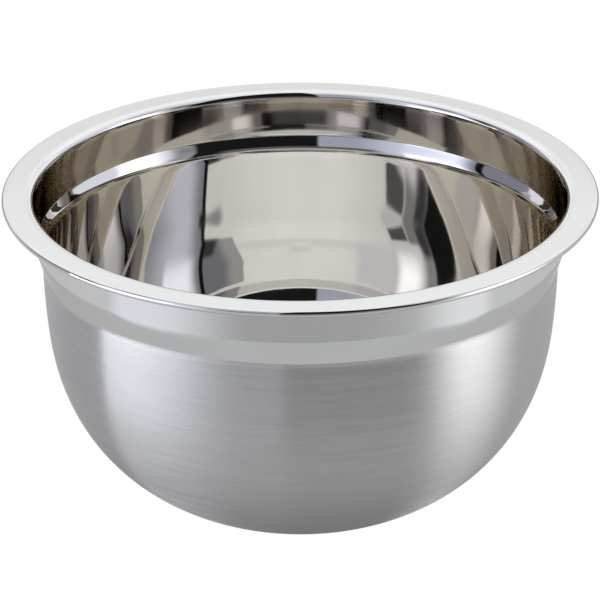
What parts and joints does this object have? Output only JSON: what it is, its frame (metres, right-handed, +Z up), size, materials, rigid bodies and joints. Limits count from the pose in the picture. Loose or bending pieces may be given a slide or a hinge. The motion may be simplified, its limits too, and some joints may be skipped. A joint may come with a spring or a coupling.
{
  "type": "mixing bowl",
  "caption": "Deep round steel mixing bowl, drawn from one sheet, with a flat flanged rim, a curled edge, a polished neck with a small ledge, and a flat base it stands on.",
  "frame": {"origin": "centre of the flat base's underside, on the bowl's axis", "axes": "+Z up along the bowl's axis, from the base to the rim; the bowl is the same all round, so +X and +Y are any two level directions"},
  "size_m": [0.26, 0.26, 0.143],
  "materials": {
    "steel": "mirror polished inside, on the rim and round the neck; satin, brushed round the bowl, on the outside of the body"
  },
  "bodies": {
    "root": {"bowl_shell": "steel"}
  },
  "joints": []
}
